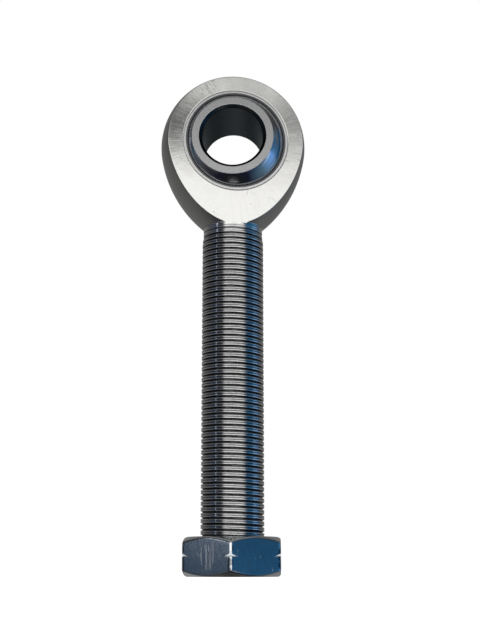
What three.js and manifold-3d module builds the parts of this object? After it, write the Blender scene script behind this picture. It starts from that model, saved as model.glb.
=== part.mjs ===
// Male rod end bearing with a left-hand shank and its jam nut.
// Millimetres, +Z up along the shank. The origin is the centre of the shank's end face,
// which is level with the jam nut's lower face. The eye faces -Y and +Y.

import * as THREE from 'three';
import { mergeVertices } from 'three/addons/utils/BufferGeometryUtils.js';
import Module from 'manifold-3d';

const wasm = await Module();
wasm.setup();

// ---- driving dimensions: ball -------------------------------------------------------------
const boreDiameter = 15.875;
const boreChamfer = 0.75;
const ballEndRing = 1.96; // radial width of the flat ring around the bore
const ballWidth = 19.05;
const ballSwivelAtRest = -7.0; // degrees about the shank axis
const ballTiltAtRest = 1.9; // degrees, front face tipped upwards

// ---- driving dimensions: liner, race and eye ------------------------------------------------
const ballStandOut = 2.381; // ball beyond each face of the eye
const ballClearance = 0.1; // ball to liner, radial
const linerThickness = 0.34;
const bondGap = 0.06; // liner to race
const linerSetBack = 0.15; // liner edge behind the race face
const raceWall = 1.42; // race thickness at its middle
const raceRim = 0.66; // width of the race's visible end face
const raceLip = 2.2; // length of the race's tapered end
const raceSetBack = 0.08; // race end face behind the eye's face
const seatGap = 0.06; // race to eye
const headWall = 2.79; // eye thickness outside the race, at its middle
const headBlendRadius = 32.0; // curve of the eye's lower half
const headBlendAngle = 10.0; // degrees below the middle where that curve starts

// ---- driving dimensions: shank --------------------------------------------------------------
const centreToEnd = 111.125;
const threadDiameter = 15.74;
const threadEndChamfer = 1.1;
const neckLength = 2.5;
const neckRelief = 0.2; // neck radius below the thread's crest
const neckFillet = 0.6;

// ---- driving dimensions: jam nut ------------------------------------------------------------
const nutAcrossFlats = 23.8125;
const nutThickness = 9.525;
const nutThreadClearance = 0.3; // nut bore to thread crest, radial
const nutCountersink = 0.55;
const nutFaceMargin = 0.6; // flats' half width less the round end face's radius
const nutChamferAngle = 30.0; // degrees
const nutTurnAtRest = -8.3; // degrees
const notchDepth = 0.75; // left-hand mark, cut into each corner
const notchFlankAngle = 45.0; // degrees

// ---- fineness of round shapes ---------------------------------------------------------------
const turnSegments = 48;
const arcStep = 7.5; // degrees

// ---- derived sizes --------------------------------------------------------------------------
const rad = THREE.MathUtils.degToRad;
const boreRadius = boreDiameter / 2;
const ballFaceRadius = boreRadius + boreChamfer + ballEndRing;
const ballRadius = Math.hypot(ballFaceRadius, ballWidth / 2);
const linerInnerRadius = ballRadius + ballClearance;
const linerOuterRadius = linerInnerRadius + linerThickness;
const raceInnerRadius = linerOuterRadius + bondGap;
const raceOuterRadius = raceInnerRadius + raceWall;
const eyeHalfWidth = ballWidth / 2 - ballStandOut;
const raceHalfWidth = eyeHalfWidth - raceSetBack;
const linerHalfWidth = raceHalfWidth - linerSetBack;
const raceFaceInner = Math.sqrt(raceInnerRadius ** 2 - raceHalfWidth ** 2);
const raceFaceOuter = raceFaceInner + raceRim;
const seatRadius = raceOuterRadius + seatGap;
const headRadius = seatRadius + headWall;
const threadRadius = threadDiameter / 2;
const neckRadius = threadRadius - neckRelief;
const nutCornerRadius = nutAcrossFlats / Math.sqrt(3);
const nutFaceRadius = nutAcrossFlats / 2 - nutFaceMargin;
const nutBoreRadius = threadRadius + nutThreadClearance;

// ---- solids ---------------------------------------------------------------------------------

// One closed body with shared vertices, from any closed three.js geometry.
function closed(geometry) {
  geometry.deleteAttribute('normal');
  geometry.deleteAttribute('uv');
  const merged = mergeVertices(geometry, 1e-4);
  const index = merged.index.array;
  const kept = [];
  for (let i = 0; i < index.length; i += 3) {
    const [a, b, c] = [index[i], index[i + 1], index[i + 2]];
    if (a !== b && b !== c && c !== a) {
      kept.push(a, b, c);
    }
  }
  merged.setIndex(kept);
  return merged;
}

function solid(geometry) {
  const body = closed(geometry);
  const vertProperties = new Float32Array(body.attributes.position.array);
  const triVerts = new Uint32Array(body.index.array);
  return new wasm.Manifold(new wasm.Mesh({ numProp: 3, vertProperties, triVerts }));
}

function geometryOf(manifold) {
  const mesh = manifold.getMesh();
  const geometry = new THREE.BufferGeometry();
  geometry.setAttribute('position', new THREE.BufferAttribute(mesh.vertProperties, 3));
  geometry.setIndex(new THREE.BufferAttribute(mesh.triVerts, 1));
  return geometry;
}

// Points of an arc in a profile plane, as [radius, height], between two angles in degrees
// measured from the radial direction.
function arc(centreRadius, centreHeight, radius, from, to) {
  const steps = Math.max(2, Math.ceil(Math.abs(to - from) / arcStep));
  const points = [];
  for (let i = 0; i <= steps; i += 1) {
    const angle = rad(from + ((to - from) * i) / steps);
    points.push([centreRadius + radius * Math.cos(angle), centreHeight + radius * Math.sin(angle)]);
  }
  return points;
}

// A turned shape about Y. The profile runs upwards on its outer side.
function turned(profile) {
  const points = profile.map(([radius, height]) => new THREE.Vector2(Math.max(radius, 0), height));
  return new THREE.LatheGeometry(points, turnSegments);
}

// A turned ring about Y, whose profile closes on itself.
function turnedRing(profile) {
  return turned([...profile, profile[0]]);
}

function upright(geometry) {
  return geometry.rotateX(Math.PI / 2);
}

function mesh(name, geometry, color, roughness, metalness) {
  const material = new THREE.MeshStandardMaterial({ color, roughness, metalness });
  const part = new THREE.Mesh(geometry, material);
  part.name = name;
  return part;
}

function degreesOf(opposite, hypotenuse) {
  return THREE.MathUtils.radToDeg(Math.asin(opposite / hypotenuse));
}

// ---- rod end body: eye and shank in one piece -------------------------------------------------

// The eye's lower half leaves the sphere along a flatter curve that runs down to the neck.
function headBlend() {
  const angle = rad(headBlendAngle);
  const centreRadius = (headRadius - headBlendRadius) * Math.cos(angle);
  const centreHeight = (headBlendRadius - headRadius) * Math.sin(angle);
  const footRadius = neckRadius + neckFillet * (1 - Math.SQRT1_2);
  const footAngle = THREE.MathUtils.radToDeg(Math.acos((footRadius - centreRadius) / headBlendRadius));
  const footHeight = centreHeight - headBlendRadius * Math.sin(rad(footAngle));
  return { centreRadius, centreHeight, footAngle, footHeight };
}

const blend = headBlend();
const neckTop = centreToEnd + blend.footHeight - neckFillet * Math.SQRT1_2;
const threadTop = neckTop - neckLength;

function bodyProfile() {
  const fillet = arc(neckRadius + neckFillet, neckTop, neckFillet, 180, 135);
  const lower = arc(
    blend.centreRadius,
    centreToEnd + blend.centreHeight,
    headBlendRadius,
    -blend.footAngle,
    -headBlendAngle,
  );
  const upper = arc(0, centreToEnd, headRadius, -headBlendAngle, 90);
  return [
    [0, 0],
    [threadRadius - threadEndChamfer, 0],
    [threadRadius, threadEndChamfer],
    [threadRadius, threadTop],
    [neckRadius, threadTop + neckRelief],
    ...fillet,
    ...lower.slice(1),
    ...upper.slice(1),
  ];
}

// The eye's seat follows the race with a gap: a straight middle and a lip closed over each end.
function seatCutter() {
  const faceRadius = raceFaceOuter + seatGap;
  const lipStart = raceHalfWidth - raceLip + seatGap;
  const profile = [
    [0, -headRadius],
    [faceRadius, -headRadius],
    [faceRadius, -raceHalfWidth],
    [seatRadius, -lipStart],
    [seatRadius, lipStart],
    [faceRadius, raceHalfWidth],
    [faceRadius, headRadius],
    [0, headRadius],
  ];
  return solid(turned(profile).translate(0, 0, centreToEnd));
}

function flatCutter(side) {
  const reach = headRadius * 2;
  const height = headRadius * 2 - blend.footHeight;
  const box = new THREE.BoxGeometry(reach * 2, reach, height);
  box.translate(0, side * (eyeHalfWidth + reach / 2), neckTop + height / 2);
  return solid(box);
}

function rodEndBody() {
  const turnedBody = solid(upright(turned(bodyProfile())));
  const shaped = turnedBody.subtract(flatCutter(-1)).subtract(flatCutter(1)).subtract(seatCutter());
  return mesh('rod_end_body', geometryOf(shaped), 0x9a9c9b, 0.38, 1.0);
}

// ---- race, liner and ball, turned about the eye's axis ----------------------------------------

function race() {
  const inner = degreesOf(raceHalfWidth, raceInnerRadius);
  const profile = [
    ...arc(0, 0, raceInnerRadius, inner, -inner),
    [raceFaceOuter, -raceHalfWidth],
    [raceOuterRadius, raceLip - raceHalfWidth],
    [raceOuterRadius, raceHalfWidth - raceLip],
    [raceFaceOuter, raceHalfWidth],
  ];
  return mesh('race', closed(turnedRing(profile)), 0xb4b6b6, 0.25, 1.0);
}

function liner() {
  const inner = degreesOf(linerHalfWidth, linerInnerRadius);
  const outer = degreesOf(linerHalfWidth, linerOuterRadius);
  const profile = [
    ...arc(0, 0, linerInnerRadius, inner, -inner),
    ...arc(0, 0, linerOuterRadius, -outer, outer),
  ];
  return mesh('liner', closed(turnedRing(profile)), 0x101114, 0.75, 0.0);
}

function ball() {
  const half = ballWidth / 2;
  const edge = degreesOf(half, ballRadius);
  const profile = [
    [boreRadius, half - boreChamfer],
    [boreRadius, boreChamfer - half],
    [boreRadius + boreChamfer, -half],
    ...arc(0, 0, ballRadius, -edge, edge),
    [boreRadius + boreChamfer, half],
  ];
  const piece = mesh('ball', closed(turnedRing(profile)), 0x8f979f, 0.08, 1.0);
  piece.rotation.x = -rad(ballTiltAtRest);
  return piece;
}

// ---- jam nut ----------------------------------------------------------------------------------

// Both ends are turned to a cone that leaves a round face inside the flats.
function nutEnvelope() {
  const rise = (nutCornerRadius - nutFaceRadius) * Math.tan(rad(nutChamferAngle));
  const profile = [
    [0, 0],
    [nutFaceRadius, 0],
    [nutCornerRadius, rise],
    [nutCornerRadius, nutThickness - rise],
    [nutFaceRadius, nutThickness],
    [0, nutThickness],
  ];
  return solid(upright(turned(profile)));
}

function nutHole() {
  const mouth = nutBoreRadius + nutCountersink;
  const profile = [
    [0, -nutThickness],
    [mouth, -nutThickness],
    [mouth, 0],
    [nutBoreRadius, nutCountersink],
    [nutBoreRadius, nutThickness - nutCountersink],
    [mouth, nutThickness],
    [mouth, nutThickness * 2],
    [0, nutThickness * 2],
  ];
  return solid(upright(turned(profile)));
}

// A V-shaped groove turned around the nut's middle, so shallow that only the corners reach it.
function notchCutter() {
  const root = nutCornerRadius - notchDepth;
  const flare = Math.tan(rad(notchFlankAngle));
  const outside = nutCornerRadius + notchDepth;
  const opening = (outside - root) * flare;
  const profile = [
    [root, nutThickness / 2],
    [outside, nutThickness / 2 - opening],
    [outside, nutThickness / 2 + opening],
  ];
  return solid(upright(turnedRing(profile)));
}

function jamNut() {
  const prism = new THREE.CylinderGeometry(nutCornerRadius, nutCornerRadius, nutThickness, 6);
  const hexagon = solid(upright(prism).translate(0, 0, nutThickness / 2));
  const shaped = hexagon.intersect(nutEnvelope()).subtract(nutHole()).subtract(notchCutter());
  const piece = mesh('jam_nut', geometryOf(shaped), 0x5c6670, 0.35, 1.0);
  piece.rotation.z = rad(nutTurnAtRest);
  return piece;
}

// ---- assembly -----------------------------------------------------------------------------------

const swivel = new THREE.Group();
swivel.rotation.z = rad(ballSwivelAtRest);
swivel.add(ball());

const bearing = new THREE.Group();
bearing.position.z = centreToEnd;
bearing.add(race(), liner(), swivel);

const rodEnd = new THREE.Group();
rodEnd.add(rodEndBody(), bearing, jamNut());

export default rodEnd;
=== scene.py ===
"""Looks of a male rod end bearing with a left-hand shank and its jam nut.

Sizes in the tables below are millimetres; meshes and lights are made in metres. The eye's axis
runs along Y, the shank's along Z, and the nut and the shank's end stand on z = 0.
"""

import math

import bmesh
import bpy
import numpy as np
from mathutils import Euler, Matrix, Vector

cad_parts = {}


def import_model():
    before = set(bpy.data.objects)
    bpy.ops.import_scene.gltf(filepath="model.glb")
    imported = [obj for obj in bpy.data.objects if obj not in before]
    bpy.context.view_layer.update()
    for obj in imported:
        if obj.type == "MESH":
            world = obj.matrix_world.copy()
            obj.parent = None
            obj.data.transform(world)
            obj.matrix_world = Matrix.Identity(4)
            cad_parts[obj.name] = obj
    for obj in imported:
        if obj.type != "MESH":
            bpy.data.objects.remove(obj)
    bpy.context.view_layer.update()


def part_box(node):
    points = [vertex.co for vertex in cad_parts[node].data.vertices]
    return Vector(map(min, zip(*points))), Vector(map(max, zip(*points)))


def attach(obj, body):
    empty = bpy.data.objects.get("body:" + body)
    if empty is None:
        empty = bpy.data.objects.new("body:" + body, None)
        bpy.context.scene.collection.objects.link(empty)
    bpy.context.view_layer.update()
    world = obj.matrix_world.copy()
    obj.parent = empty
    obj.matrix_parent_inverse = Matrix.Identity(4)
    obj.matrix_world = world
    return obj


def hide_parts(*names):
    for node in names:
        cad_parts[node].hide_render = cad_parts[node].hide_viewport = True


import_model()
MM = 0.001

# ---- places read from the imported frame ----
RACE_LOW, RACE_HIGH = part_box("race")
_, BODY_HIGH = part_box("rod_end_body")
NUT_LOW, NUT_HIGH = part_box("jam_nut")
EYE_Z = (RACE_LOW.z + RACE_HIGH.z) / 2 / MM
EYE_CENTRE = (0, 0, EYE_Z)
HEAD_R = BODY_HIGH.z / MM - EYE_Z
RACE_R = (RACE_HIGH.z - RACE_LOW.z) / 2 / MM
RACE_HALF = RACE_HIGH.y / MM
NUT_H = (NUT_HIGH.z - NUT_LOW.z) / MM

# ---- eye and shank ----
EYE_HALF = 7.144  # half the eye's width along its axis
EYE_EDGE = 0.03  # rounding between the eye's faces and its side
BLEND_R = 32.0  # the eye's lower half leaves the sphere along this curve
BLEND_ANGLE = math.radians(10.0)
NECK_R = 7.67
NECK_FILLET = 0.6
NECK_LENGTH = 2.5  # from the end of the full thread to the fillet
NECK_GROOVE = 0.28  # share of the thread's depth that is left on the neck
SEAT_R = 16.266  # the hole for the race, at its middle
SEAT_FACE_R = 13.71  # the seat closes in to this at the eye's faces
SEAT_EDGE = 0.10
SEAT_LIP = 2.2  # length of each closed-in end
THREAD_R = 7.93
THREAD_PITCH = 25.4 / 18
THREAD_DEPTH = 0.50
THREAD_HAND = -1  # left hand: the turns fall as the angle grows
CREST_HIGHLIGHT_BAND = 0.05  # within this of the crest the painted highlight is at its brightest
END_CHAMFER = 1.1
END_SOFTENED = 0.1  # width of the narrow ring inside the end's edge
CENTRE_HOLE = [(2.0, 0), (1.6, 0.25), (0.3, 1.3)]  # radius, height
SHANK_FRONT_ARC = math.radians(51.0)  # of the neck, where the eye's flat leaves a ledge
SHANK_STEPS = (46, 18)  # columns on each side and on each ledge
SPHERE_STEPS = 84
BLEND_STEPS = 43
FILLET_STEPS = 6
LEDGE_STEPS = 8
EDGE_STEPS = 5
FACE_SHARES = (0, 0.03, 0.5, 0.97, 1)  # rows of the flat face, from its outline to the seat
SIDE_FINISH, FACE_FINISH, THREAD_FINISH = 0, 1, 2
EYE_SCUFF = (-7.6, -EYE_HALF, 14.9)  # middle of the front face's scuffs, from the eye's centre

# One pitch of the thread: share of the pitch, share of the depth. The crest is at 0 with a seam in
# its middle, the root at a half.
THREAD_FORM = [
    (0.00, 0.30), (0.05, 0.27), (0.09, 0.04), (0.14, 0.00), (0.22, 0.03), (0.29, 0.12),
    (0.35, 0.32), (0.41, 0.66), (0.45, 0.95), (0.55, 0.95), (0.59, 0.66), (0.65, 0.32),
    (0.71, 0.12), (0.78, 0.03), (0.86, 0.00), (0.91, 0.04), (0.95, 0.27),
]

# ---- race, liner and ball ----
RACE_INNER_R = 14.786
RACE_RIM_R = (12.99, 13.65)  # inner and outer edge of the bright rim
RACE_RIM_EDGE = (0.16, 0.12)
RACE_SHOULDER_EDGE = 0.2
RACE_STEPS = 28
LINER_R = (14.386, 14.726)  # inner and outer
LINER_HALF = 6.914
LINER_EDGE = 0.06
LINER_STEPS = 24
BALL_R = 14.286
BALL_HALF = 9.525
BALL_EDGE = 0.10
BALL_STEPS = 72
ON_SURFACE = 1e-3  # how near a point has to lie to count as on a flat face
ON_SKIN = 0.02  # the same for the ball's sphere
SKIN_OVERLAP = 0.06  # how far the chrome comes in over the edge of the end rings
BORE_R = 7.9375
BORE_CHAMFER = 0.75
CHAMFER_EDGE = 0.12
BALL_SWIVEL = math.radians(-7.0)  # about the shank's axis, as in the photo
BALL_TILT = math.radians(1.9)
BORE_FINISH, RING_FINISH, CHROME_FINISH = 0, 1, 2
TURN_STEPS = 144  # round the eye's axis, for all three

# ---- jam nut ----
NUT_APOTHEM = 11.906
NUT_FACE_R = 11.306
NUT_FACE_EDGE = (0.12, 0.16)  # below and above
NUT_SIDE_EDGE = (0.40, 0.45)  # where the chamfers meet the sides, below and above
NUT_CORNER_ROUND = 0.80
NUT_BORE_R = 8.17
NUT_COUNTERSINK = 0.55
NUT_MOUTH_EDGE = 0.08
NUT_THREAD_DEPTH = 0.6
NUT_THREAD_FADE = 0.4
NUT_CHAMFER = math.radians(30.0)
NUT_NOTCH_ROOT = 12.998  # distance of the corner notches' bottom from the nut's axis
NOTCH_EDGES = (0.02, 0.03, 0.06)  # lower edge, root, upper edge
NOTCH_LEAST = 0.12  # opening kept where there is no notch, so that no two points meet
NOTCH_BELOW = 0.1  # share of the opening below the root: the lower side is nearly flat
NOTCH_REACH = 0.9  # the notches lie within this of the nut's middle height
NOTCH_MARGIN = 0.1  # and not further in than this from their root
NOTCH_SLOPE = -0.4  # their upper slopes face down by at least this
NUT_WEAR_AND_PAINTED_LIGHT_R = (13.3, 13.5)  # the corners' band of wear, painted highlight and painted shade starts between these
NUT_TURN = math.radians(-8.3)
NUT_FINISH, NOTCH_HIGHLIGHT_FINISH = 0, 1
NUT_SCUFF = (-7.0, -9.9, 4.9)  # middle of the scuffed patch on the front left side
# Degrees from a corner of the nut's columns, close together where it is rounded.
NUT_COLUMNS = [0, 0.3, 0.6, 0.9, 1.2, 1.5, 1.8, 2.0, 3, 5, 7, 9, 12, 15, 18, 21, 24, 27]

# ---- meshes ----
WELD = 2e-7  # metres
SLIVER = 1e-7  # metres
SHARP_ANGLE = math.radians(38)
CUT_SHARE = 0.42  # most of a profile's side that a rounding takes at one end
SUPPORT_SHARE = 0.46  # the same with the flat support beside it


# ---- mesh building ----
class Shell:
    """Grids and polygons of points in millimetres, gathered into one welded mesh."""

    def __init__(self):
        self.points, self.faces, self.finishes, self.count = [], [], [], 0

    def _add(self, points):
        first = self.count
        self.points.append(np.asarray(points, float).reshape(-1, 3))
        self.count += len(self.points[-1])
        return first

    def grid(self, rows, finish, wrap=False, slip=0):
        """rows[i][j] is a point. wrap joins the last column to the first, slip rows lower."""
        rows = np.asarray(rows, float)
        height, width = rows.shape[:2]
        first = self._add(rows)
        index = first + np.arange(height * width).reshape(height, width)
        if wrap:
            turned = np.full(height, -1)
            turned[slip:] = index[: height - slip, 0] if slip else index[:, 0]
            index = np.column_stack([index, turned])
        corners = np.stack([index[:-1, :-1], index[:-1, 1:], index[1:, 1:], index[1:, :-1]], -1)
        corners = corners.reshape(-1, 4)
        corners = corners[(corners >= 0).all(1)]
        self.faces += corners.tolist()
        self.finishes += [finish] * len(corners)

    def polygon(self, points, finish):
        """One flat face, its points in order round it."""
        first = self._add(points)
        self.faces.append(list(range(first, self.count)))
        self.finishes.append(finish)

    def piece(self, name, materials):
        """The object made from everything gathered, with its sharp edges marked."""
        mesh = bpy.data.meshes.new(name)
        mesh.from_pydata((np.concatenate(self.points) * MM).tolist(), [], self.faces)
        mesh.polygons.foreach_set("material_index", self.finishes)
        for material in materials:
            mesh.materials.append(material)
        work = bmesh.new()
        work.from_mesh(mesh)
        bmesh.ops.remove_doubles(work, verts=work.verts, dist=WELD)
        bmesh.ops.dissolve_degenerate(work, edges=work.edges, dist=SLIVER)
        bmesh.ops.recalc_face_normals(work, faces=work.faces)
        work.to_mesh(mesh)
        work.free()
        mesh.shade_smooth()
        mesh.set_sharp_from_angle(angle=SHARP_ANGLE)
        piece = bpy.data.objects.new(name, mesh)
        bpy.context.scene.collection.objects.link(piece)
        return piece


def unit(vector):
    """The vector at length 1."""
    return vector / max(np.linalg.norm(vector), 1e-9)


def rounded(corners, steps=4, support=0.03):
    """A closed profile of (radius, height, rounding) with its corners turned to small curves."""
    points = [np.array(c[:2], float) for c in corners]
    out = []
    for i, (point, (_, _, size)) in enumerate(zip(points, corners)):
        if size == 0:
            out.append(point)
            continue
        before, after = points[i - 1] - point, points[(i + 1) % len(points)] - point
        reach = min(np.linalg.norm(before), np.linalg.norm(after))
        cut = min(size, CUT_SHARE * reach)
        extra = min(cut + support, SUPPORT_SHARE * reach)
        start, end = point + unit(before) * cut, point + unit(after) * cut
        out.append(point + unit(before) * extra)
        for t in np.linspace(0, 1, steps + 1):
            out.append((1 - t) ** 2 * start + 2 * t * (1 - t) * point + t * t * end)
        out.append(point + unit(after) * extra)
    return np.array(out)


def arc(radius, low, high, steps):
    """Points (radius, height, no rounding) of a circle about the profile's origin."""
    return [
        (radius * math.cos(a), radius * math.sin(a), 0) for a in np.linspace(low, high, steps + 1)
    ]


def around_y(profile, angles):
    """Rows of points for a profile turned about Y."""
    profile = np.asarray(profile)[:, None, :]
    return np.stack([
        profile[..., 0] * np.cos(angles),
        profile[..., 1] + 0 * angles,
        profile[..., 0] * np.sin(angles),
    ], -1)


def smooth_step(low, high, value):
    """0 below low, 1 above high, and an S-curve in between."""
    t = np.clip((value - low) / (high - low), 0, 1)
    return t * t * (3 - 2 * t)


def helix_rows(angles, bottom, top, radius_at):
    """Rows that run along the turns of the thread, and how many make one pitch."""
    shares = np.array([share for share, _ in THREAD_FORM])
    first = math.floor(bottom / THREAD_PITCH) - 1
    last = math.ceil(top / THREAD_PITCH) + 2
    pitches = (np.arange(first, last)[:, None] + shares[None, :]).ravel()
    turn = THREAD_HAND * angles / (2 * math.pi)
    height = THREAD_PITCH * (pitches[:, None] + turn[None, :])
    height = np.clip(height, bottom, top)
    place = (height / THREAD_PITCH - turn[None, :]) % 1.0
    form = np.array(THREAD_FORM + [(1.0, THREAD_FORM[0][1])])
    radius = radius_at(height, np.interp(place, form[:, 0], form[:, 1]))
    rows = np.stack([radius * np.cos(angles), radius * np.sin(angles), height], -1)
    return rows, len(shares)


# ---- eye and shank ----
def head_blend():
    """Centre (radius, height) of the curve under the sphere, and its foot on the neck's fillet."""
    centre_r = (HEAD_R - BLEND_R) * math.cos(BLEND_ANGLE)
    centre_z = (BLEND_R - HEAD_R) * math.sin(BLEND_ANGLE)
    foot_r = NECK_R + NECK_FILLET * (1 - math.sqrt(0.5))
    foot_angle = math.acos((foot_r - centre_r) / BLEND_R)
    foot_z = centre_z - BLEND_R * math.sin(foot_angle)
    return centre_r, centre_z, foot_angle, foot_z


BLEND_CENTRE_R, BLEND_CENTRE_Z, FOOT_ANGLE, FOOT_Z = head_blend()
NECK_TOP = EYE_Z + FOOT_Z - NECK_FILLET * math.sqrt(0.5)
THREAD_TOP = NECK_TOP - NECK_LENGTH
# Heights between which the crests come down to the neck, the grooves get shallow, and they end.
CREST_FALL = (THREAD_TOP - 1.5, THREAD_TOP + 0.6)
GROOVE_FADE = (THREAD_TOP - 1.0, NECK_TOP - 0.5)
GROOVE_END = (NECK_TOP - 0.45, NECK_TOP - 0.1)


def lower_profile():
    """(radius, height above the eye's centre) from the neck up to where the sphere starts."""
    points = []
    for a in np.radians(np.linspace(180, 135, FILLET_STEPS + 1)):
        radius = NECK_R + NECK_FILLET + NECK_FILLET * math.cos(a)
        points.append((radius, NECK_TOP - EYE_Z + NECK_FILLET * math.sin(a)))
    for a in np.linspace(-FOOT_ANGLE, -BLEND_ANGLE, BLEND_STEPS + 1)[1:]:
        radius = BLEND_CENTRE_R + BLEND_R * math.cos(a)
        points.append((radius, BLEND_CENTRE_Z + BLEND_R * math.sin(a)))
    return np.array(points)


LOWER = lower_profile()


def side_line(y):
    """The eye's outline in the plane y, from the left foot over the top to the right foot."""
    half = np.sqrt(LOWER[:, 0] ** 2 - y * y)
    left = np.column_stack([-half, LOWER[:, 1]])
    slice_r = math.sqrt(HEAD_R**2 - y * y)
    start = math.asin(LOWER[-1, 1] / slice_r)
    sweep = np.linspace(math.pi - start, start, SPHERE_STEPS)[1:-1]
    over = np.column_stack([slice_r * np.cos(sweep), slice_r * np.sin(sweep)])
    right = np.column_stack([half, LOWER[:, 1]])[::-1]
    return np.concatenate([left, over, right])


def shank_angles():
    """Columns of the shank, whose side ones meet the rows of the eye's side."""
    side = math.pi - SHANK_FRONT_ARC
    sides, ledge = SHANK_STEPS
    right = np.linspace(-side / 2, side / 2, sides + 1)
    back = np.linspace(side / 2, math.pi - side / 2, ledge + 1)[1:-1]
    left = np.linspace(math.pi - side / 2, math.pi + side / 2, sides + 1)
    front = np.linspace(math.pi + side / 2, 2 * math.pi - side / 2, ledge + 1)[1:-1]
    return right, back, left, front


def inward(line, amount):
    """The line moved towards its inside by an amount, along its own normals."""
    along = np.gradient(line, axis=0)
    along /= np.linalg.norm(along, axis=1, keepdims=True)
    return line + amount * np.column_stack([along[:, 1], -along[:, 0]])


def at_y(line, y):
    """Points in space for a line of (across, height above the eye's centre) in the plane y."""
    return np.column_stack([line[:, 0], np.full(len(line), y), line[:, 1] + EYE_Z])


def eye_face_rows(outline, seat, side):
    """Flat rows from the face's outline in to the edge of the seat, and on down its edge."""
    rim = seat * (SEAT_FACE_R + SEAT_EDGE)
    rows = [at_y(outline + (rim - outline) * t, side * EYE_HALF) for t in FACE_SHARES]
    softened = 0.3 * SEAT_EDGE
    rows.append(at_y(seat * (SEAT_FACE_R + softened), side * (EYE_HALF - softened)))
    rows.append(at_y(seat * SEAT_FACE_R, side * (EYE_HALF - SEAT_EDGE)))
    return rows


def add_eye(shell):
    """The eye's side, and for each face its edge, the face itself and the ledge over the neck."""
    right, back, _, front = shank_angles()
    side_y = NECK_R * np.sin(right)
    lines = [side_line(y) for y in side_y]
    shell.grid([at_y(line, y) for line, y in zip(lines, side_y)], SIDE_FINISH)
    corner = side_line(EYE_HALF)
    face_edge = inward(corner, EYE_EDGE)
    face_edge[[0, -1], 1] = NECK_TOP - EYE_Z
    chord_x = np.linspace(face_edge[-1, 0], face_edge[0, 0], LEDGE_STEPS + 1)[1:-1]
    chord = np.column_stack([chord_x, np.full(len(chord_x), NECK_TOP - EYE_Z)])
    outline = np.concatenate([face_edge, chord])
    angles = np.arctan2(outline[:, 1], outline[:, 0])
    seat = np.column_stack([np.cos(angles), np.sin(angles)])
    for sign, neck_angles, edge in ((-1, front[::-1], 0), (1, back, -1)):
        start = at_y(lines[edge], side_y[edge])
        middle = at_y(corner, sign * EYE_HALF)
        end = at_y(face_edge, sign * EYE_HALF)
        curve = [
            (1 - t) ** 2 * start + 2 * t * (1 - t) * middle + t * t * end
            for t in np.linspace(0, 1, EDGE_STEPS + 1)
        ]
        shell.grid(curve, SIDE_FINISH)
        shell.grid(eye_face_rows(outline, seat, sign), FACE_FINISH, wrap=True)
        across = at_y(chord, sign * EYE_HALF)[::-1]
        inner = [*[row[0] for row in curve], *across, *[row[-1] for row in curve[::-1]]]
        neck = [(NECK_R * math.cos(a), NECK_R * math.sin(a), NECK_TOP) for a in neck_angles]
        shell.polygon([*inner, *neck], SIDE_FINISH)
    add_seat(shell, seat)


def add_seat(shell, seat):
    """The hole that holds the race: straight in the middle, closed in towards both faces."""
    lip = RACE_HALF - SEAT_LIP
    profile = [
        (SEAT_FACE_R, -(EYE_HALF - SEAT_EDGE)), (SEAT_FACE_R, -RACE_HALF), (SEAT_R, -lip),
        (SEAT_R, lip), (SEAT_FACE_R, RACE_HALF), (SEAT_FACE_R, EYE_HALF - SEAT_EDGE),
    ]
    rows = [at_y(seat * radius, y) for radius, y in profile]
    shell.grid(rows, SIDE_FINISH, wrap=True)


def shank_radius(height, groove):
    """The shank's surface at a height, where groove is the share of the thread's depth."""
    crest = THREAD_R + (NECK_R - THREAD_R) * smooth_step(*CREST_FALL, height)
    fade = 1.0 - (1.0 - NECK_GROOVE) * smooth_step(*GROOVE_FADE, height)
    fade *= 1.0 - smooth_step(*GROOVE_END, height)
    return np.minimum(crest - THREAD_DEPTH * groove * fade, THREAD_R - END_CHAMFER + height)


def add_shank(shell):
    """The thread, and the shank's end with its centre hole."""
    angles = np.concatenate(shank_angles())
    rows, per_pitch = helix_rows(angles, 0.0, NECK_TOP, shank_radius)
    shell.grid(rows, THREAD_FINISH, wrap=True, slip=per_pitch)
    ring = THREAD_R - END_CHAMFER
    discs = [
        np.column_stack([r * np.cos(angles), r * np.sin(angles), np.full(len(angles), z)])
        for r, z in ((ring, 0), (ring - END_SOFTENED, 0), *CENTRE_HOLE)
    ]
    shell.grid(discs, SIDE_FINISH, wrap=True)
    shell.polygon(discs[-1], SIDE_FINISH)


def rod_end_body():
    """Eye and shank, one piece of steel in three finishes."""
    shell = Shell()
    add_eye(shell)
    add_shank(shell)
    materials = [machined_side(), turned_face(), zinc_thread_painted_light()]
    piece = shell.piece("eye_and_threaded_shank", materials)
    piece.data.use_auto_texspace = False
    piece.data.texspace_location = (0, 0, EYE_Z * MM)
    piece.data.texspace_size = (HEAD_R * MM,) * 3
    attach(piece, "eye_and_shank")
    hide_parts("rod_end_body")


# ---- race, liner and ball ----
def bearing_piece(name, profiles, materials, node, body, turn=None):
    """A piece turned about the eye's axis; profiles are (points, finish) that join in a ring."""
    shell = Shell()
    angles = np.linspace(0, 2 * math.pi, TURN_STEPS, endpoint=False)
    for points, finish in profiles:
        rows = around_y(points, angles)
        if turn is not None:
            rows = rows @ np.array(turn).T
        shell.grid(rows + np.array(EYE_CENTRE), finish, wrap=True)
    piece = shell.piece(name, materials)
    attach(piece, body)
    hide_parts(node)


def closed(corners, **options):
    """A rounded profile whose last point is its first one again."""
    ring = rounded(corners, **options)
    return np.concatenate([ring, ring[:1]])


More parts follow.
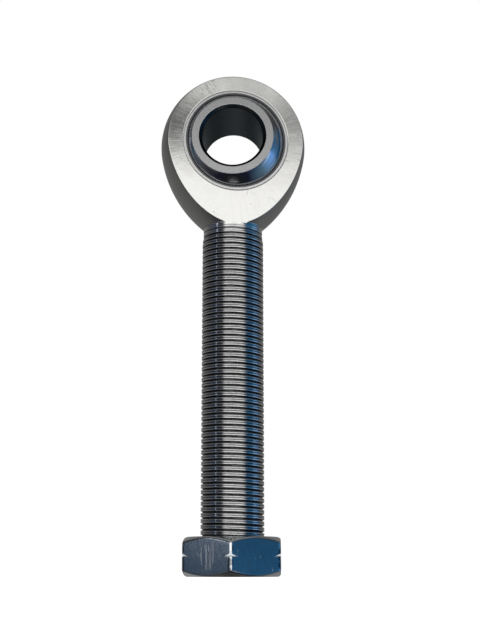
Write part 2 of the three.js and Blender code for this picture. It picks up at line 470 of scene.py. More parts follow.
def race():
    """Barrel-shaped inside, cylindrical outside with ends that taper in to the rims."""
    rim_inner, rim_outer = RACE_RIM_R
    inner_edge, outer_edge = RACE_RIM_EDGE
    reach = math.asin(RACE_HALF / RACE_INNER_R)
    barrel = arc(RACE_INNER_R, reach, -reach, RACE_STEPS)
    lip = RACE_HALF - SEAT_LIP
    corners = [
        (rim_inner, RACE_HALF, inner_edge), *barrel[1:-1], (rim_inner, -RACE_HALF, inner_edge),
        (rim_outer, -RACE_HALF, outer_edge), (RACE_R, -lip, RACE_SHOULDER_EDGE),
        (RACE_R, lip, RACE_SHOULDER_EDGE), (rim_outer, RACE_HALF, outer_edge),
    ]
    profiles = [(closed(corners, steps=5), 0)]
    bearing_piece("race_ring", profiles, [bright_race()], "race", "eye_and_shank")


def liner():
    """A thin shell between race and ball."""
    inner, outer = LINER_R
    reach_in, reach_out = math.asin(LINER_HALF / inner), math.asin(LINER_HALF / outer)
    low = arc(inner, reach_in, -reach_in, LINER_STEPS)
    high = arc(outer, -reach_out, reach_out, LINER_STEPS)
    corners = [
        (*low[0][:2], LINER_EDGE), *low[1:-1], (*low[-1][:2], LINER_EDGE),
        (*high[0][:2], LINER_EDGE), *high[1:-1], (*high[-1][:2], LINER_EDGE),
    ]
    profiles = [(closed(corners, steps=3, support=0.01), 0)]
    bearing_piece(
        "liner_ring", profiles, [woven_liner()], "liner", "eye_and_shank"
    )


def ball():
    """The ball, cut flat on two sides and bored, in three finishes."""
    ring_r = math.sqrt(BALL_R**2 - BALL_HALF**2)
    reach = math.asin(BALL_HALF / BALL_R)
    skin = arc(BALL_R, -reach, reach, BALL_STEPS)
    corners = [
        (BORE_R, BALL_HALF - BORE_CHAMFER, BALL_EDGE), (BORE_R, BORE_CHAMFER - BALL_HALF, BALL_EDGE),
        (BORE_R + BORE_CHAMFER, -BALL_HALF, CHAMFER_EDGE), (ring_r, -BALL_HALF, BALL_EDGE),
        *skin[1:-1],
        (ring_r, BALL_HALF, BALL_EDGE), (BORE_R + BORE_CHAMFER, BALL_HALF, CHAMFER_EDGE),
    ]
    ring = closed(corners, steps=4)
    radius, height = ring[:, 0], np.abs(ring[:, 1])
    on_skin = (np.hypot(radius, height) > BALL_R - ON_SKIN) & (radius > ring_r - SKIN_OVERLAP)
    on_face = (height > BALL_HALF - ON_SURFACE) & (radius < ring_r - BALL_EDGE)
    finish = np.select([on_skin, on_face], [CHROME_FINISH, RING_FINISH], BORE_FINISH)
    profiles = []
    start = 0
    for i in range(1, len(ring)):
        kind = finish[i - 1 : i + 1].max()
        if i == len(ring) - 1 or finish[i : i + 2].max() != kind:
            profiles.append((ring[start : i + 1], int(kind)))
            start = i
    tilt = Euler((-BALL_TILT, 0, 0)).to_matrix()
    turn = Euler((0, 0, BALL_SWIVEL)).to_matrix() @ tilt
    materials = [bore_painted_shade(), satin_ring(), chrome_skin()]
    bearing_piece("bored_ball", profiles, materials, "ball", "ball", turn)


# ---- jam nut ----
def nut_angles():
    """Angles of the nut's columns, starting at its front corner."""
    off_corner = np.array(NUT_COLUMNS)
    side = np.unique(np.concatenate([off_corner, [30], 60 - off_corner]))[:-1]
    return np.radians(np.concatenate([side + 60 * k for k in range(6)]) - 90)


def hexagon_radius(angle):
    """Distance from the nut's axis to its side, with the corners rounded."""
    off = (angle + math.pi / 2 + math.pi / 6) % (math.pi / 3) - math.pi / 6
    flat = NUT_APOTHEM / math.cos(math.pi / 6 - abs(off))
    centre = (NUT_APOTHEM - NUT_CORNER_ROUND) / math.cos(math.pi / 6)
    across = centre * math.sin(abs(off))
    if across >= NUT_CORNER_ROUND * math.sin(math.pi / 6):
        return flat
    return centre * math.cos(off) + math.sqrt(NUT_CORNER_ROUND**2 - across**2)


def nut_column(angle):
    """The nut's side at one angle, from the lower countersink's edge up to the upper one's."""
    radius = hexagon_radius(angle)
    rise = (radius - NUT_FACE_R) * math.tan(NUT_CHAMFER)
    middle = NUT_H / 2
    depth = max(radius - NUT_NOTCH_ROOT, 0.0)
    opening = max(depth, NOTCH_LEAST)
    mouth = NUT_BORE_R + NUT_COUNTERSINK
    low_edge, root_edge, high_edge = NOTCH_EDGES
    corners = [
        (mouth, 0, NUT_MOUTH_EDGE), (NUT_FACE_R, 0, NUT_FACE_EDGE[0]), (radius, rise, NUT_SIDE_EDGE[0]),
        (radius, middle - NOTCH_BELOW * opening, low_edge), (radius - depth, middle, root_edge),
        (radius, middle + opening, high_edge), (radius, NUT_H - rise, NUT_SIDE_EDGE[1]),
        (NUT_FACE_R, NUT_H, NUT_FACE_EDGE[1]), (mouth, NUT_H, NUT_MOUTH_EDGE),
        (NUT_BORE_R, NUT_H - NUT_COUNTERSINK, 0), (NUT_BORE_R, NUT_COUNTERSINK, 0),
    ]
    return rounded(corners)[:-2]


def nut_bore_radius(height, groove):
    """The nut's inside at a height; its thread fades out towards both countersinks."""
    low, high = NUT_COUNTERSINK, NUT_H - NUT_COUNTERSINK
    ends = smooth_step(low, low + NUT_THREAD_FADE, height)
    ends *= 1 - smooth_step(high - NUT_THREAD_FADE, high, height)
    return NUT_BORE_R + NUT_THREAD_DEPTH * (1 - groove) * ends


def in_notch(face):
    """True for the upper slopes of the notches, which get the painted highlight."""
    near_middle = abs(face.center.z / MM - NUT_H / 2) < NOTCH_REACH
    outside = math.hypot(*face.center.xy) / MM > NUT_NOTCH_ROOT - NOTCH_MARGIN
    return near_middle and outside and face.normal.z < NOTCH_SLOPE


def jam_nut():
    """Outside and countersinks by columns, inside by the turns of its thread."""
    shell = Shell()
    angles = nut_angles()
    columns = np.stack([nut_column(a) for a in angles], 1)
    outside = np.stack([
        columns[..., 0] * np.cos(angles), columns[..., 0] * np.sin(angles), columns[..., 1]
    ], -1)
    circle = np.stack([np.cos(angles), np.sin(angles)], -1)
    low, high = NUT_COUNTERSINK, NUT_H - NUT_COUNTERSINK
    bottom = np.column_stack([circle * NUT_BORE_R, np.full(len(angles), low)])
    top = np.column_stack([circle * NUT_BORE_R, np.full(len(angles), high)])
    shell.grid(np.concatenate([bottom[None], outside, top[None]]), NUT_FINISH, wrap=True)
    inside, per_pitch = helix_rows(angles, low, high, nut_bore_radius)
    shell.grid(inside, NUT_FINISH, wrap=True, slip=per_pitch)
    turn = np.array(Euler((0, 0, NUT_TURN)).to_matrix())
    shell.points = [points @ turn.T for points in shell.points]
    piece = shell.piece("jam_nut_body", [plated_nut(), notch_painted_highlight()])
    # The notches' upper slopes get the painted highlight.
    for face in piece.data.polygons:
        face.material_index = NOTCH_HIGHLIGHT_FINISH if in_notch(face) else NUT_FINISH
    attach(piece, "jam_nut")
    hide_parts("jam_nut")


# ---- materials ----
def add(tree, kind, inputs=None, **settings):
    """A node; inputs are values, or sockets to link. Returns the node."""
    node = tree.nodes.new(kind)
    for key, value in settings.items():
        setattr(node, key, value)
    for key, value in (inputs or {}).items():
        if isinstance(value, bpy.types.NodeSocket):
            tree.links.new(value, node.inputs[key])
        else:
            node.inputs[key].default_value = value
    return node


def maths(tree, operation, *values):
    """The result of a Math node on values or sockets."""
    inputs = dict(enumerate(values))
    return add(tree, "ShaderNodeMath", inputs, operation=operation).outputs[0]


def vectors(tree, operation, *values):
    """The result of a Vector Math node, a number for LENGTH and a vector otherwise."""
    node = add(tree, "ShaderNodeVectorMath", dict(enumerate(values)), operation=operation)
    return node.outputs["Value" if operation == "LENGTH" else "Vector"]


def scaled(tree, vector, size):
    return vectors(tree, "MULTIPLY", vector, size)


def ramp(tree, factor, stops):
    """stops are (place, colour) with a colour of one number or three."""
    node = add(tree, "ShaderNodeValToRGB", {"Fac": factor})
    elements = node.color_ramp.elements
    while len(elements) < len(stops):
        elements.new(0.5)
    for element, (place, colour) in zip(elements, stops):
        colour = (colour,) * 3 if isinstance(colour, (int, float)) else colour
        element.position = place
        element.color = (*colour, 1.0)
    return node.outputs["Color"]


def noise(tree, vector, scale, detail, roughness=0.5):
    """Cloudy noise around 0.5, with features about 1 / scale across."""
    inputs = {"Vector": vector, "Scale": scale, "Detail": detail, "Roughness": roughness}
    return add(tree, "ShaderNodeTexNoise", inputs).outputs["Fac"]


def mixed(tree, factor, a, b):
    """Colour a where the factor is 0 and b where it is 1; either may be a socket."""
    node = add(tree, "ShaderNodeMix", {0: factor}, data_type="RGBA")
    for key, value in ((6, a), (7, b)):
        if isinstance(value, bpy.types.NodeSocket):
            tree.links.new(value, node.inputs[key])
        else:
            node.inputs[key].default_value = (*value, 1.0)
    return node.outputs[2]


def spread(tree, value, low, high, to_low, to_high):
    """The value taken from one range to another, and held within the second."""
    inputs = {"Value": value, "From Min": low, "From Max": high, "To Min": to_low, "To Max": to_high}
    return add(tree, "ShaderNodeMapRange", inputs).outputs["Result"]


def from_noise(tree, drawn, to_low, to_high):
    """Noise, which lies mostly between 0.3 and 0.7, taken to another range."""
    return spread(tree, drawn, 0.3, 0.7, to_low, to_high)


def bump(tree, height, depth, onto=None):
    """depth is in millimetres for a height of 1."""
    inputs = {"Height": height, "Distance": depth * MM}
    if onto is not None:
        inputs["Normal"] = onto
    return add(tree, "ShaderNodeBump", inputs).outputs["Normal"]


def millimetres(tree, centre=(0, 0, 0)):
    """The piece's own coordinates in millimetres from a centre."""
    place = add(tree, "ShaderNodeTexCoord").outputs["Object"]
    place = scaled(tree, place, (1 / MM,) * 3)
    return vectors(tree, "SUBTRACT", place, centre)


def metal(name, roughness, anisotropic=0.0):
    """A metal whose constants sit on the shader itself. Returns the material, tree and shader."""
    material = bpy.data.materials.new(name)
    material.use_nodes = True
    tree = material.node_tree
    shader = tree.nodes["Principled BSDF"]
    shader.inputs["Metallic"].default_value = 1.0
    shader.inputs["Roughness"].default_value = roughness
    shader.inputs["Anisotropic"].default_value = anisotropic
    return material, tree, shader


def connect(tree, shader, **sockets):
    """Links colour, roughness and normal to the shader."""
    names = {"colour": "Base Color", "roughness": "Roughness", "normal": "Normal"}
    for key, socket in sockets.items():
        tree.links.new(socket, shader.inputs[names[key]])


def fine_lines(tree, place, turn, fine, long, least):
    """Thin lines lying across Y, turned about it: 1 on a line, 0 elsewhere."""
    rotated = add(
        tree, "ShaderNodeVectorRotate", {"Vector": place, "Angle": math.radians(turn)},
        rotation_type="Y_AXIS",
    ).outputs["Vector"]
    drawn = noise(tree, scaled(tree, rotated, (fine, fine * 0.3, long)), 1.0, 1.0)
    return spread(tree, drawn, least, least + 0.06, 0, 1)


def scratches(tree, place, turn, fine, long, amount):
    """Sparse thin lines: 1 on a scratch, 0 elsewhere."""
    patches = noise(tree, scaled(tree, place, (0.35, 0.35, 0.35)), 1.0, 1.0)
    lines = fine_lines(tree, place, turn, fine, long, 0.70)
    return maths(tree, "MULTIPLY", lines, spread(tree, patches, 0.6 - amount, 0.72 - amount, 0, 1))


def patch(tree, place, centre, reach):
    """A ragged spot: 1 near its centre, 0 outside."""
    from_centre = vectors(tree, "LENGTH", vectors(tree, "SUBTRACT", place, centre))
    ragged = from_noise(tree, noise(tree, place, 0.7, 2.0), -0.3 * reach, 0.3 * reach)
    return spread(tree, maths(tree, "ADD", from_centre, ragged), 0.8 * reach, 1.05 * reach, 1, 0)


def eye_polar(tree):
    """Place from the eye's centre, its direction from the eye's axis, and its distance from it."""
    place = millimetres(tree, EYE_CENTRE)
    flat = scaled(tree, place, (1, 0, 1))
    return place, vectors(tree, "NORMALIZE", flat), vectors(tree, "LENGTH", flat)


def lathe_lines(tree, fine):
    """Fine rings round the eye's axis, as a height."""
    _, _, distance = eye_polar(tree)
    across = add(tree, "ShaderNodeCombineXYZ", {"X": maths(tree, "MULTIPLY", distance, fine)})
    return noise(tree, across.outputs[0], 1.0, 2.0)


def machined_side():
    """The turned and lightly blasted outside of the eye."""
    material, tree, shader = metal("machined_side", 0.30)
    place = millimetres(tree)
    cloud = noise(tree, place, 0.25, 3.0)
    grain = noise(tree, place, 6.0, 3.0, 0.6)
    rings = noise(tree, scaled(tree, place, (0.05, 0.05, 9.0)), 1.0, 2.0)
    colour = mixed(tree, cloud, (0.50, 0.50, 0.48), (0.62, 0.62, 0.60))
    rough = maths(tree, "ADD", from_noise(tree, cloud, 0.26, 0.34),
                  from_noise(tree, grain, -0.04, 0.05))
    normal = bump(tree, grain, 0.012)
    normal = bump(tree, rings, 0.010, onto=normal)
    connect(tree, shader, colour=colour, roughness=rough, normal=normal)
    return material


def turned_face():
    """The eye's flat faces: faced on a lathe, then rubbed outwards from the bore."""
    material, tree, shader = metal("turned_face", 0.06, 0.3)
    place, outward, distance = eye_polar(tree)
    tangent = add(tree, "ShaderNodeTangent", direction_type="RADIAL", axis="Y").outputs["Tangent"]
    tree.links.new(tangent, shader.inputs["Tangent"])
    along = add(tree, "ShaderNodeCombineXYZ", {"Y": maths(tree, "MULTIPLY", distance, 0.12)})
    spokes = vectors(tree, "ADD", scaled(tree, outward, (46, 0, 46)), along.outputs[0])
    marks = noise(tree, spokes, 1.0, 3.0, 0.65)
    across = add(tree, "ShaderNodeCombineXYZ", {"Y": maths(tree, "MULTIPLY", distance, 2.6)})
    rings = vectors(tree, "ADD", scaled(tree, outward, (2, 0, 2)), across.outputs[0])
    turns = noise(tree, rings, 1.0, 3.0, 0.6)
    cloud = noise(tree, place, 0.3, 4.0, 0.6)
    cuts = maths(tree, "MAXIMUM", scratches(tree, place, 55, 5.0, 0.25, 0.02),
                 scratches(tree, place, -20, 6.0, 0.3, 0.0))
    rubbed = patch(tree, place, EYE_SCUFF, 2.6)
    for turn, offset in ((34, 3.0), (48, 9.0)):
        moved = vectors(tree, "ADD", place, (offset, 0, offset))
        knocks = maths(tree, "MULTIPLY", rubbed, fine_lines(tree, moved, turn, 4.2, 0.30, 0.62))
        cuts = maths(tree, "MAXIMUM", cuts, knocks)
    brushed = from_noise(tree, marks, 0, 1)
    colour = mixed(tree, brushed, (0.76, 0.755, 0.73), (0.84, 0.835, 0.81))
    colour = mixed(tree, spread(tree, turns, 0.35, 0.65, 0.0, 0.16), colour, (0.66, 0.66, 0.65))
    colour = mixed(tree, maths(tree, "MULTIPLY", cuts, 0.55), colour, (0.16, 0.16, 0.15))
    rough = maths(tree, "ADD", from_noise(tree, cloud, 0.04, 0.08),
                  from_noise(tree, marks, -0.01, 0.03))
    normal = bump(tree, marks, 0.0017)
    normal = bump(tree, turns, 0.0018, onto=normal)
    normal = bump(tree, cloud, 0.008, onto=normal)
    normal = bump(tree, cuts, -0.02, onto=normal)
    connect(tree, shader, colour=colour, roughness=rough, normal=normal)
    return material


def zinc_thread_painted_light():
    """The plated thread, coloured by depth: a painted highlight on the crests and up the neck, painted
    shade in a greyer seam along the crests and in the roots.
    """
    material, tree, shader = metal("zinc_thread_painted_light", 0.24)
    place = millimetres(tree)
    distance = vectors(tree, "LENGTH", scaled(tree, place, (1, 1, 0)))
    along = add(tree, "ShaderNodeSeparateXYZ", {"Vector": place}).outputs["Z"]
    # The neck takes the crests' colour, so that the painted highlight reaches up it.
    fallen = spread(tree, along, *CREST_FALL, 0, THREAD_R - NECK_R)
    distance = maths(tree, "ADD", distance, fallen)
    height = spread(tree, distance, THREAD_R - THREAD_DEPTH, THREAD_R - CREST_HIGHLIGHT_BAND, 0, 1)
    cloud = noise(tree, place, 0.5, 3.0)
    streaks = noise(tree, scaled(tree, place, (1.6, 1.6, 14.0)), 1.0, 2.0)
    # Painted highlight and shade: dark in the roots and the crests' seam, bright on the crests.
    colour = ramp(tree, height, [
        (0.0, 0.04), (0.55, 0.06), (0.80, 0.22), (0.89, 0.55),
        (0.95, (0.88, 0.88, 0.87)), (1.0, (0.93, 0.93, 0.92)),
    ])
    colour = mixed(tree, spread(tree, cloud, 0.45, 0.7, 0, 0.35), colour, (0.40, 0.41, 0.42))
    rough = maths(tree, "ADD", spread(tree, height, 0, 1, 0.26, 0.09),
                  from_noise(tree, streaks, -0.03, 0.06))
    connect(tree, shader, colour=colour, roughness=rough, normal=bump(tree, streaks, 0.008))
    return material


def bright_race():
    """The race's turned and polished rim."""
    material, tree, shader = metal("bright_race", 0.2)
    lines = lathe_lines(tree, 12.0)
    cloud = noise(tree, millimetres(tree, EYE_CENTRE), 0.4, 3.0)
    colour = mixed(tree, lines, (0.62, 0.62, 0.61), (0.78, 0.78, 0.77))
    rough = from_noise(tree, cloud, 0.16, 0.28)
    connect(tree, shader, colour=colour, roughness=rough, normal=bump(tree, lines, 0.006))
    return material


def woven_liner():
    """Dark self-lubricating fabric."""
    material, tree, shader = metal("woven_liner", 0.7)
    shader.inputs["Metallic"].default_value = 0.0
    place = millimetres(tree, EYE_CENTRE)
    cells = add(tree, "ShaderNodeTexVoronoi", {"Vector": place, "Scale": 5.0})
    weave = cells.outputs["Distance"]
    colour = mixed(tree, weave, (0.07, 0.071, 0.075), (0.14, 0.14, 0.145))
    rough = spread(tree, weave, 0, 0.7, 0.55, 0.8)
    connect(tree, shader, colour=colour, roughness=rough, normal=bump(tree, weave, 0.03))
    return material


def chrome_skin():
    """The ball's hard chrome: near a mirror, with faint wear from turning in its liner."""
    material, tree, shader = metal("chrome_skin", 0.06)
    place = millimetres(tree, EYE_CENTRE)
    cloud = noise(tree, place, 0.35, 4.0)
    fine = noise(tree, scaled(tree, place, (0.6, 9.0, 0.6)), 1.0, 2.0)
    colour = mixed(tree, cloud, (0.58, 0.60, 0.63), (0.66, 0.68, 0.71))
    rough = maths(tree, "ADD", spread(tree, cloud, 0.35, 0.7, 0.04, 0.10),
                  spread(tree, fine, 0.5, 0.8, 0.0, 0.06))
    connect(tree, shader, colour=colour, roughness=rough, normal=bump(tree, fine, 0.0008))
    return material


def satin_ring():
    """The flat rings round the ball's bore, faced on a lathe."""
    material, tree, shader = metal("satin_ring", 0.22)
    lines = lathe_lines(tree, 10.0)
    grain = noise(tree, millimetres(tree, EYE_CENTRE), 5.0, 3.0)
    colour = mixed(tree, grain, (0.59, 0.59, 0.60), (0.71, 0.71, 0.71))
    rough = from_noise(tree, grain, 0.19, 0.26)
    connect(tree, shader, colour=colour, roughness=rough, normal=bump(tree, lines, 0.006))
    return material


def bore_painted_shade():
    """The ground bore and its chamfers, coloured nearly black as painted shade."""
    material, tree, shader = metal("bore_painted_shade", 0.22)
    place = millimetres(tree, EYE_CENTRE)
    lines = noise(tree, scaled(tree, place, (0.3, 10.0, 0.3)), 1.0, 2.0)
    cloud = noise(tree, place, 0.4, 3.0)
    # Painted shade: the steel's colour is made nearly black inside the bore.
    colour = mixed(tree, cloud, (0.045, 0.052, 0.055), (0.08, 0.088, 0.092))
    rough = maths(tree, "ADD", from_noise(tree, lines, 0.16, 0.26),
                  from_noise(tree, cloud, 0.0, 0.06))
    shader.inputs["Specular Tint"].default_value = (0.55, 0.58, 0.60, 1)
    connect(tree, shader, colour=colour, roughness=rough, normal=bump(tree, lines, 0.004))
    return material


def nut_scuffs(tree, place):
    """Upright scratches in a patch of one side, and a few stray ones all round."""
    upright = noise(tree, scaled(tree, place, (5.4, 5.4, 0.12)), 1.0, 0.0)
    lines = spread(tree, upright, 0.60, 0.68, 0, 1)
    squash = 0.8  # makes the patch taller than it is wide
    across, front, height = NUT_SCUFF
    spot = patch(tree, scaled(tree, place, (1, 1, squash)), (across, front, squash * height), 2.9)
    lines = maths(tree, "MULTIPLY", lines, spot)
    stray = maths(tree, "MAXIMUM", scratches(tree, place, 12, 3.0, 0.22, 0.05),
                  scratches(tree, place, 74, 3.4, 0.3, 0.02))
    return maths(tree, "MAXIMUM", lines, stray)


def plated_nut():
    """Bluish zinc plate, scuffed by handling; its corners are bright from wear and a painted highlight,
    and painted dark between as painted shade that breaks the highlight up.
    """
    material, tree, shader = metal("plated_nut", 0.1)
    place = millimetres(tree)
    cloud = noise(tree, place, 0.3, 4.0)
    grain = noise(tree, place, 4.0, 3.0)
    mottle = noise(tree, scaled(tree, place, (1.6, 1.6, 0.5)), 1.0, 4.0, 0.65)
    cuts = nut_scuffs(tree, place)
    from_axis = vectors(tree, "LENGTH", scaled(tree, place, (1, 1, 0)))
    corner = spread(tree, from_axis, *NUT_WEAR_AND_PAINTED_LIGHT_R, 0, 1)
    wear = noise(tree, scaled(tree, place, (1, 1, 0.6)), 0.8, 2.0)
    lit_and_worn = spread(tree, wear, 0.46, 0.54, 0, 1)
    painted_corner_shade = maths(tree, "MULTIPLY", corner, maths(tree, "SUBTRACT", 1.0, lit_and_worn))
    colour = mixed(tree, cloud, (0.54, 0.57, 0.58), (0.66, 0.68, 0.69))
    colour = mixed(tree, spread(tree, mottle, 0.4, 0.7, 0, 0.5), colour, (0.42, 0.46, 0.46))
    colour = mixed(tree, maths(tree, "MULTIPLY", cuts, 0.85), colour, (0.94, 0.97, 1.0))
    # Corners painted bright: wear and a painted highlight.
    bared_and_highlight = maths(tree, "MULTIPLY", corner, lit_and_worn)
    colour = mixed(tree, bared_and_highlight, colour, (0.95, 0.97, 0.98))
    # Painted shade: the rest of each corner is made nearly black, breaking the highlight into pieces.
    colour = mixed(tree, maths(tree, "MULTIPLY", painted_corner_shade, 0.85), colour, (0.10, 0.12, 0.14))
    rough = maths(tree, "ADD", from_noise(tree, cloud, 0.07, 0.12),
                  spread(tree, mottle, 0.5, 0.7, 0.0, 0.05))
    rough = maths(tree, "ADD", rough, maths(tree, "MULTIPLY", cuts, 0.14))
    normal = bump(tree, grain, 0.003)
    normal = bump(tree, mottle, 0.012, onto=normal)
    normal = bump(tree, cuts, -0.02, onto=normal)
    connect(tree, shader, colour=colour, roughness=rough, normal=normal)
    return material


def notch_painted_highlight():
    """The notches' upper slopes, nearly matt and coloured near white as a painted highlight."""
    material, tree, shader = metal("notch_painted_highlight", 0.35)
    shader.inputs["Metallic"].default_value = 0.1
    place = millimetres(tree)
    lines = noise(tree, scaled(tree, place, (0.5, 0.5, 12.0)), 1.0, 2.0)
    colour = mixed(tree, lines, (0.86, 0.91, 0.94), (0.95, 0.98, 1.0))
    rough = from_noise(tree, lines, 0.14, 0.24)
    connect(tree, shader, colour=colour, roughness=rough, normal=bump(tree, lines, 0.004))
    return material


# ---- studio ----
# What the metal mirrors: rings of colour at a height in degrees above the horizon. A ring's stops
# are degrees round the part from its front (-Y), + towards +X, with a grey or a colour. Heights
# between two rings are mixed. At the photo's angle the eye's faces mirror the heights from 18 to
# 25, the thread's crests those from 3 to 17, the nut's sides those near 0 and the ball mostly
# those below.
DARK_LEFT = [(-180, 0.25), (-140, 0.15), (-114, 0.05), (-68, 0.04), (-45, (0.04, 0.04, 0.05))]
BLUE_RIGHT = [
    (48, (0.02, 0.08, 0.16)), (80, (0.04, 0.13, 0.24)), (96, (0.10, 0.17, 0.24)),
    (112, 0.08), (134, 0.16), (180, 0.25),
]
MIRROR_RINGS = [
    (-84, [(-180, 0.05), (180, 0.05)]),
    (-78, [(-180, 0.015), (180, 0.015)]),
    (-62, [
        (-180, 0.02), (-152, 0.06), (-122, 0.11), (-100, (0.012, 0.012, 0.025)),
        (100, (0.012, 0.014, 0.03)), (122, 0.11), (152, 0.06), (180, 0.02),
    ]),
    (-34, [
        (-180, 0.38), (-160, 0.3), (-148, 0.17), (-112, 0.12), (-94, (0.05, 0.05, 0.06)),
        (-84, 0.06), (-76, 0.16), (-48, 0.22), (-40, 0.85), (40, 0.85), (48, (0.03, 0.08, 0.15)),
        (66, (0.05, 0.11, 0.19)), (76, (0.1, 0.17, 0.25)), (90, (0.1, 0.2, 0.28)), (106, 0.12),
        (118, 0.19), (144, 0.19), (160, 0.3), (180, 0.38),
    ]),
    (-16, [
        (-180, 0.34), (-170, 0.28), (-162, 0.18), (-140, 0.17), (-110, 0.13), (-98, 0.12),
        (-84, (0.06, 0.08, 0.13)), (-66, (0.05, 0.075, 0.12)), (-49, (0.05, 0.06, 0.08)),
        (-38, 0.55), (42, 0.55), (47, (0.025, 0.13, 0.28)), (66, (0.025, 0.12, 0.26)),
        (77, (0.12, 0.28, 0.52)), (79.5, (0.75, 0.95, 1.1)), (82, (0.2, 0.4, 0.75)),
        (94, (0.2, 0.42, 0.8)), (104, (0.09, 0.13, 0.18)), (112, 0.15), (150, 0.18), (166, 0.28),
        (180, 0.34),
    ]),
    (-6, [
        (-180, 0.2), (-140, 0.17), (-110, 0.13), (-98, 0.15), (-84, (0.06, 0.08, 0.13)),
        (-66, (0.05, 0.075, 0.12)), (-49, (0.05, 0.06, 0.08)), (-38, 0.35), (42, 0.35),
        (47, (0.025, 0.13, 0.28)), (66, (0.025, 0.12, 0.26)), (76, (0.1, 0.28, 0.6)),
        (79.5, (0.8, 1, 1.1)), (83, (0.2, 0.44, 0.95)), (94, (0.22, 0.45, 0.92)),
        (104, (0.09, 0.13, 0.18)), (112, 0.15), (180, 0.2),
    ]),
    (0, [
        (-180, 0.22), (-140, 0.17), (-112, 0.1), (-98, (0.08, 0.09, 0.12)),
        (-80, (0.065, 0.1, 0.15)), (-64, (0.035, 0.06, 0.1)), (-45, (0.05, 0.06, 0.08)),
        (-35, 1.05), (24, 1.05), (37, 0.85), (42, (0.03, 0.12, 0.25)), (62, (0.02, 0.09, 0.2)),
        (76, (0.02, 0.12, 0.28)), (90, (0.11, 0.28, 0.54)), (112, (0.07, 0.12, 0.19)),
        (120, 0.15), (180, 0.22),
    ]),
    (6, [
        (-180, 0.24), (-140, 0.17), (-112, 0.1), (-98, (0.07, 0.08, 0.11)),
        (-80, (0.05, 0.08, 0.12)), (-73, (0.03, 0.04, 0.08)), (-70.5, (1.1, 1.2, 1.4)),
        (-68, (0.03, 0.04, 0.08)), (-45, (0.03, 0.035, 0.05)), (-34, 1.1), (22, 1.1), (31, 0.9),
        (37, (0.015, 0.065, 0.13)), (62, (0.012, 0.065, 0.14)), (76, (0.015, 0.1, 0.22)),
        (90, (0.06, 0.18, 0.34)), (112, (0.07, 0.12, 0.19)), (121, 0.15), (180, 0.24),
    ]),
    (18.8, [
        (-180, 0.25), (-140, 0.15), (-114, 0.05), (-80, (0.05, 0.07, 0.12)), (-73, 0.04),
        (-70.5, (2.4, 2.5, 2.8)), (-68, 0.04), (-45, 0.04), (-34, 1.13), (22, 1.13), (32, 0.9),
        (38, (0.015, 0.06, 0.12)), (76, (0.02, 0.1, 0.2)), (92, (0.06, 0.13, 0.22)), (110, 0.1),
        (134, 0.15), (180, 0.25),
    ]),
    (20.1, [
        *DARK_LEFT, (-35, 1.1), (2.5, 1.22), (6.5, 1.08), (10.5, 0.98), (38, 0.9), *BLUE_RIGHT,
    ]),
    (21, [
        *DARK_LEFT, (-35, 0.7), (2.5, 0.8), (4, 0.9), (9, 0.84), (10.5, 0.76), (38, 0.7),
        *BLUE_RIGHT,
    ]),
    (21.9, [
        *DARK_LEFT, (-35, 0.5), (1, 0.5), (2.5, 0.2), (4, 0.24), (6.5, 0.4), (9, 0.54),
        (10.5, 0.44), (38, 0.6), *BLUE_RIGHT,
    ]),
    (22.9, [
        *DARK_LEFT, (-35, 0.5), (1, 0.5), (2.5, 0.05), (3.8, 0.07), (6.5, 0.25), (9, 0.32),
        (10.5, 0.18), (13, 0.5), (38, 0.5), *BLUE_RIGHT,
    ]),
    (23.8, [
        *DARK_LEFT, (-35, 0.5), (1, 0.5), (3, 0.06), (4.2, 0.5), (6.5, 0.48), (8.6, 0.62),
        (10, 0.36), (38, 0.5), *BLUE_RIGHT,
    ]),
    (24.4, [
        *DARK_LEFT, (-35, 0.5), (3.5, 0.2), (4.9, 1.45), (6.5, 0.48), (8.1, 1.1), (9.5, 0.4),
        (38, 0.5), *BLUE_RIGHT,
    ]),
    (25.2, [
        *DARK_LEFT, (-35, 0.5), (3.5, 0.36), (4.9, 0.8), (6.5, 0.44), (8.1, 0.62), (9.5, 0.36),
        (38, 0.5), *BLUE_RIGHT,
    ]),
    (28.5, [
        *DARK_LEFT, (-38, 0.36), (38, 0.36), (48, (0.02, 0.08, 0.16)), (80, (0.04, 0.11, 0.19)),
        (110, 0.12), (118, 0.06), (140, 0.18), (180, 0.23),
    ]),
    (36, [
        (-180, 0.2), (-150, 0.22), (-124, 0.05), (-50, 0.05), (-30, 0.1), (36, 0.12), (60, 0.08),
        (118, 0.06), (138, 0.18), (180, 0.2),
    ]),
    (52, [
        (-180, 0.2), (-150, 0.25), (-120, 0.1), (0, 0.16), (120, 0.08), (140, 0.16), (180, 0.2),
    ]),
    (76, [(-180, 0.45), (180, 0.45)]),
    (84, [(-180, 0.05), (180, 0.05)]),
]
BACKDROP = (1.0, 1.0, 1.0)
FLOOR_COLOUR = (0.86, 0.86, 0.86)
FLOOR_GLOW = 0.80
FLOOR_HALF = 6.0  # metres, too far across for its edge to show
FLOOR_GAP = 0.00002  # metres below the part's own bottom
LAMP_PLACE = (-0.15, -0.25, 0.9)  # metres
LAMP_AIM = (0, 0, 0.05)
LAMP_SIZE = 0.6
LAMP_WATTS = 3.0


def ring_of_panels(tree, turn_share, stops):
    """The colour of one ring at a share of the turn round the part, which starts at the back."""
    return ramp(tree, turn_share, [(degrees / 360 + 0.5, colour) for degrees, colour in stops])


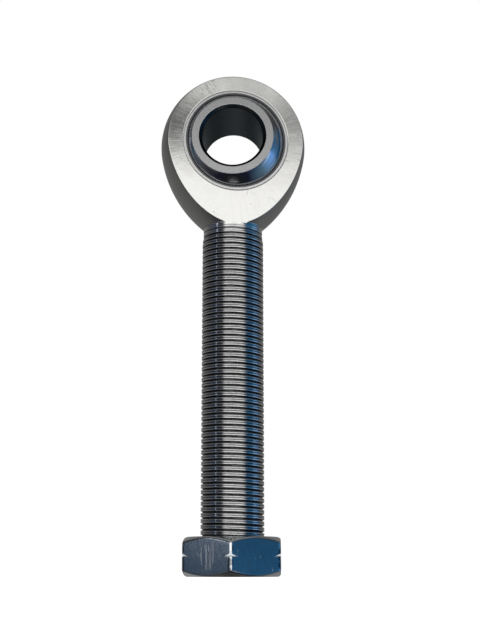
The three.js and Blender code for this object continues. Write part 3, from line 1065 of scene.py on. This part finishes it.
def world():
    """A pale backdrop for the camera, and soft panels round the part for its reflections."""
    scene_world = bpy.data.worlds.new("studio")
    bpy.context.scene.world = scene_world
    scene_world.use_nodes = True
    tree = scene_world.node_tree
    tree.nodes.clear()
    direction = add(tree, "ShaderNodeTexCoord").outputs["Generated"]
    axes = add(tree, "ShaderNodeSeparateXYZ", {"Vector": direction}).outputs
    turn = maths(tree, "ARCTAN2", axes["X"], maths(tree, "MULTIPLY", axes["Y"], -1.0))
    turn_share = maths(tree, "MULTIPLY_ADD", turn, 1 / (2 * math.pi), 0.5)
    height = maths(tree, "MULTIPLY", maths(tree, "ARCSINE", axes["Z"]), math.degrees(1))
    panels = ring_of_panels(tree, turn_share, MIRROR_RINGS[0][1])
    for (low, _), (high, stops) in zip(MIRROR_RINGS, MIRROR_RINGS[1:]):
        share = spread(tree, height, low, high, 0, 1)
        panels = mixed(tree, share, panels, ring_of_panels(tree, turn_share, stops))
    seen = add(tree, "ShaderNodeBackground", {"Color": (*BACKDROP, 1)})
    around = add(tree, "ShaderNodeBackground", {"Color": panels})
    camera_ray = add(tree, "ShaderNodeLightPath").outputs["Is Camera Ray"]
    inputs = {0: camera_ray, 1: around.outputs[0], 2: seen.outputs[0]}
    final = add(tree, "ShaderNodeMixShader", inputs)
    output = add(tree, "ShaderNodeOutputWorld")
    tree.links.new(final.outputs[0], output.inputs["Surface"])


def floor():
    """A plain pale floor that glows a little and isn't mirrored by the part."""
    mesh = bpy.data.meshes.new("floor")
    corners = [(x * FLOOR_HALF, y * FLOOR_HALF, 0) for x, y in ((-1, -1), (1, -1), (1, 1), (-1, 1))]
    mesh.from_pydata(corners, [], [(0, 1, 2, 3)])
    material = bpy.data.materials.new("floor")
    material.use_nodes = True
    shader = material.node_tree.nodes["Principled BSDF"]
    shader.inputs["Base Color"].default_value = (*FLOOR_COLOUR, 1)
    shader.inputs["Roughness"].default_value = 0.9
    shader.inputs["Specular IOR Level"].default_value = 0.0
    shader.inputs["Emission Color"].default_value = (1, 1, 1, 1)
    shader.inputs["Emission Strength"].default_value = FLOOR_GLOW
    mesh.materials.append(material)
    plane = bpy.data.objects.new("floor", mesh)
    plane.location.z = -FLOOR_GAP
    plane.visible_glossy = False
    bpy.context.scene.collection.objects.link(plane)


def lamp():
    """One soft light overhead, from the front left."""
    light = bpy.data.lights.new("overhead", "AREA")
    light.shape = "SQUARE"
    light.size = LAMP_SIZE
    light.energy = LAMP_WATTS
    lamp_object = bpy.data.objects.new("overhead", light)
    lamp_object.location = LAMP_PLACE
    aim = Vector(LAMP_AIM) - lamp_object.location
    lamp_object.rotation_euler = aim.to_track_quat("-Z", "Y").to_euler()
    lamp_object.visible_glossy = False
    bpy.context.scene.collection.objects.link(lamp_object)


# The photo's angle, fitted to the outline of the CAD model. The place is in millimetres.
CAMERA_PLACE = (-30.415, -276.318, 1.998)
CAMERA_TURN = math.radians(6.667)  # from +Y towards +X
CAMERA_RISE = math.radians(12.667)
CAMERA_LENS = 62.166  # millimetres
CAMERA_SENSOR = 36.0


def camera():
    """Close in front of the part and low, looking up at the eye."""
    data = bpy.data.cameras.new("camera")
    data.lens = CAMERA_LENS
    data.sensor_width = CAMERA_SENSOR
    data.clip_start = 0.01
    data.clip_end = 50.0
    eye = bpy.data.objects.new("camera", data)
    eye.location = Vector(CAMERA_PLACE) * MM
    ahead = Vector((
        math.sin(CAMERA_TURN) * math.cos(CAMERA_RISE),
        math.cos(CAMERA_TURN) * math.cos(CAMERA_RISE),
        math.sin(CAMERA_RISE),
    ))
    eye.rotation_mode = "QUATERNION"
    eye.rotation_quaternion = ahead.to_track_quat("-Z", "Y")
    bpy.context.scene.collection.objects.link(eye)
    bpy.context.scene.camera = eye


rod_end_body()
race()
liner()
ball()
jam_nut()
world()
floor()
lamp()
camera()
bpy.context.scene.view_settings.view_transform = "Standard"
bpy.context.view_layer.update()
